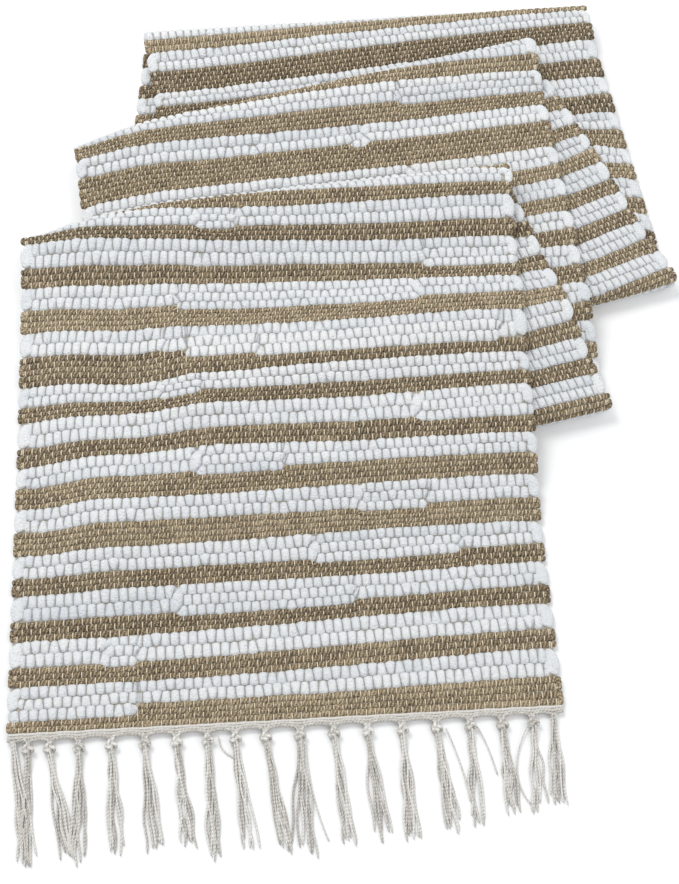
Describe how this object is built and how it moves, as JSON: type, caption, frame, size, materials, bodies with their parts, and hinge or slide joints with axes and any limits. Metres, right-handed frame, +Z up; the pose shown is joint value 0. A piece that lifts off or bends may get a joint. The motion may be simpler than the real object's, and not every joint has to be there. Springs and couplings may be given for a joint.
{
  "type": "runner rug",
  "caption": "Hand-woven rag and jute runner with a knotted cotton fringe, laid in a fanned accordion fold",
  "frame": {"origin": "on the floor, under the middle of the folded rug's box", "axes": "+Z up from the floor; -Y towards the front fringe, along the top leaf; +X to the right as seen from the front fringe"},
  "size_m": [0.8204, 1.1044, 0.0798],
  "materials": {
    "white_rag": "matte beaten cotton rag",
    "jute": "matte hairy jute yarn",
    "warp_cotton": "matte plied cotton yarn",
    "fringe_cotton": "matte plied cotton yarn"
  },
  "bodies": {
    "root": {"back_fringe_bundles": "fringe_cotton", "back_header_picks": "fringe_cotton", "back_knots": "fringe_cotton", "back_warp_gathers": "fringe_cotton", "front_fringe_bundles": "fringe_cotton", "front_header_picks": "fringe_cotton", "front_knots": "fringe_cotton", "front_warp_gathers": "fringe_cotton", "jute_stripes_front_fold_1": "jute", "jute_stripes_front_fold_2": "jute", "jute_stripes_leaf_1": "jute", "jute_stripes_leaf_2": "jute", "jute_stripes_leaf_3": "jute", "jute_stripes_leaf_4": "jute", "jute_stripes_leaf_5": "jute", "jute_stripes_leaf_6": "jute", "jute_stripes_ridge_1": "jute", "jute_stripes_ridge_2": "jute", "jute_stripes_ridge_3": "jute", "rag_stripes_front_fold_1": "white_rag", "rag_stripes_front_fold_2": "white_rag", "rag_stripes_leaf_1": "white_rag", "rag_stripes_leaf_2": "white_rag", "rag_stripes_leaf_3": "white_rag", "rag_stripes_leaf_4": "white_rag", "rag_stripes_leaf_5": "white_rag", "rag_stripes_leaf_6": "white_rag", "rag_stripes_ridge_1": "white_rag", "rag_stripes_ridge_2": "white_rag", "rag_stripes_ridge_3": "white_rag", "warp_ends_front_fold_1": "warp_cotton", "warp_ends_front_fold_2": "warp_cotton", "warp_ends_leaf_1": "warp_cotton", "warp_ends_leaf_2": "warp_cotton", "warp_ends_leaf_3": "warp_cotton", "warp_ends_leaf_4": "warp_cotton", "warp_ends_leaf_5": "warp_cotton", "warp_ends_leaf_6": "warp_cotton", "warp_ends_ridge_1": "warp_cotton", "warp_ends_ridge_2": "warp_cotton", "warp_ends_ridge_3": "warp_cotton"}
  },
  "joints": []
}
